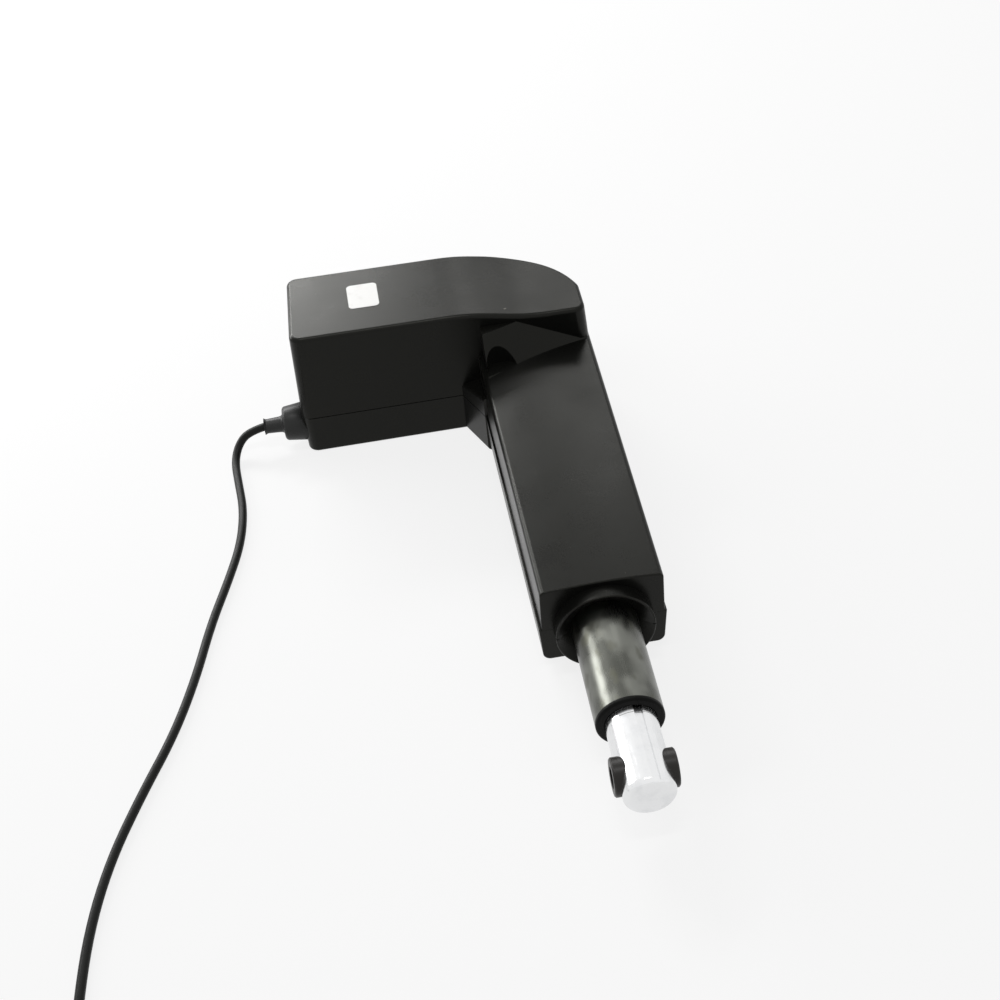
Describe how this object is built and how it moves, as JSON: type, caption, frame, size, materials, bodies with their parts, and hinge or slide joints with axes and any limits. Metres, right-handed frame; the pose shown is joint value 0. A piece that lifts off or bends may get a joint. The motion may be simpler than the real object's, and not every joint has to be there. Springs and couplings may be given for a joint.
{
  "type": "electric linear actuator",
  "caption": "Electric linear actuator: L-shaped moulded housing with a side motor, fixed guide tube, sliding rod with a cross-bored end, rear pivot eye and a coiled lead.",
  "frame": {"origin": "middle of the rear pivot bore, on the spindle's axis", "axes": "the rod leaves along -Y, the motor points to -X, +Z is the side with the label; the lower side lies on the floor"},
  "size_m": [0.4452, 0.6014, 0.0973],
  "materials": {
    "shell_plastic": "fine satin grain",
    "tube_metal": "drawn, dull, streaked lengthwise",
    "rod_metal": "polished, fine turning lines",
    "ring_plastic": "smooth",
    "seal_rubber": "smooth",
    "steel": "ground",
    "screw_steel": "blackened",
    "cast_metal": "cast, satin",
    "nylon": "natural",
    "brass": "turned",
    "copper_core": "laminated",
    "magnet": "matt",
    "board_green": "lacquered",
    "cable_jacket": "satin",
    "label_white": "paper, satin"
  },
  "bodies": {
    "housing": {"front_shell": "shell_plastic", "rear_shell": "shell_plastic", "shell_screws": "screw_steel", "outer_tube": "tube_metal", "guide_ring": "ring_plastic", "wiper_seal": "seal_rubber", "rear_bearing_outer": "steel", "rear_bearing_balls": "steel", "front_bearing_outer": "steel", "front_bearing_balls": "steel", "bearing_carrier": "cast_metal", "rear_mount": "cast_metal", "rear_bush": "ring_plastic", "motor_can": "steel", "motor_end_plate": "cast_metal", "motor_screws": "screw_steel", "motor_magnets": "magnet", "worm_bearing": "brass", "terminal_board": "board_green", "terminal_blocks": "nylon", "switch_rail": "board_green", "limit_switches": "ring_plastic", "cable_gland": "seal_rubber", "cable": "cable_jacket", "cable_coil": "cable_jacket", "cable_tail": "cable_jacket", "cable_tie": "ring_plastic", "plug_body": "ring_plastic", "plug_shell": "steel", "label": "label_white"},
    "rod": {"lifting_rod": "rod_metal", "rod_end": "rod_metal", "rod_end_bush": "ring_plastic", "spindle_nut": "nylon"},
    "spindle_group": {"spindle": "steel", "spindle_tip_guide": "nylon", "worm_wheel": "nylon", "wheel_collar": "steel", "rear_bearing_inner": "steel", "front_bearing_inner": "steel"},
    "motor_rotor": {"armature": "copper_core", "commutator": "brass", "motor_shaft": "steel", "worm": "steel"}
  },
  "joints": [
    {"name": "motor_spin", "type": "hinge", "parent": "housing", "child": "motor_rotor", "pos_m": [0, -0.0525, 0.032], "axis": [1, 0, 0], "range_deg": [0, 120000]},
    {"name": "spindle_spin", "type": "hinge", "parent": "housing", "child": "spindle_group", "pos_m": [0, -0.0525, 0], "axis": [0, -1, 0], "range_deg": [0, 6001]},
    {"name": "rod_slide", "type": "slide", "parent": "housing", "child": "rod", "axis": [0, -1, 0], "range_m": [0, 0.2001]}
  ],
  "couplings": [
    {"joint": "spindle_spin", "follows": "motor_spin", "ratio": 0.05},
    {"joint": "rod_slide", "follows": "motor_spin", "m_per_rad": 0.000095493}
  ]
}
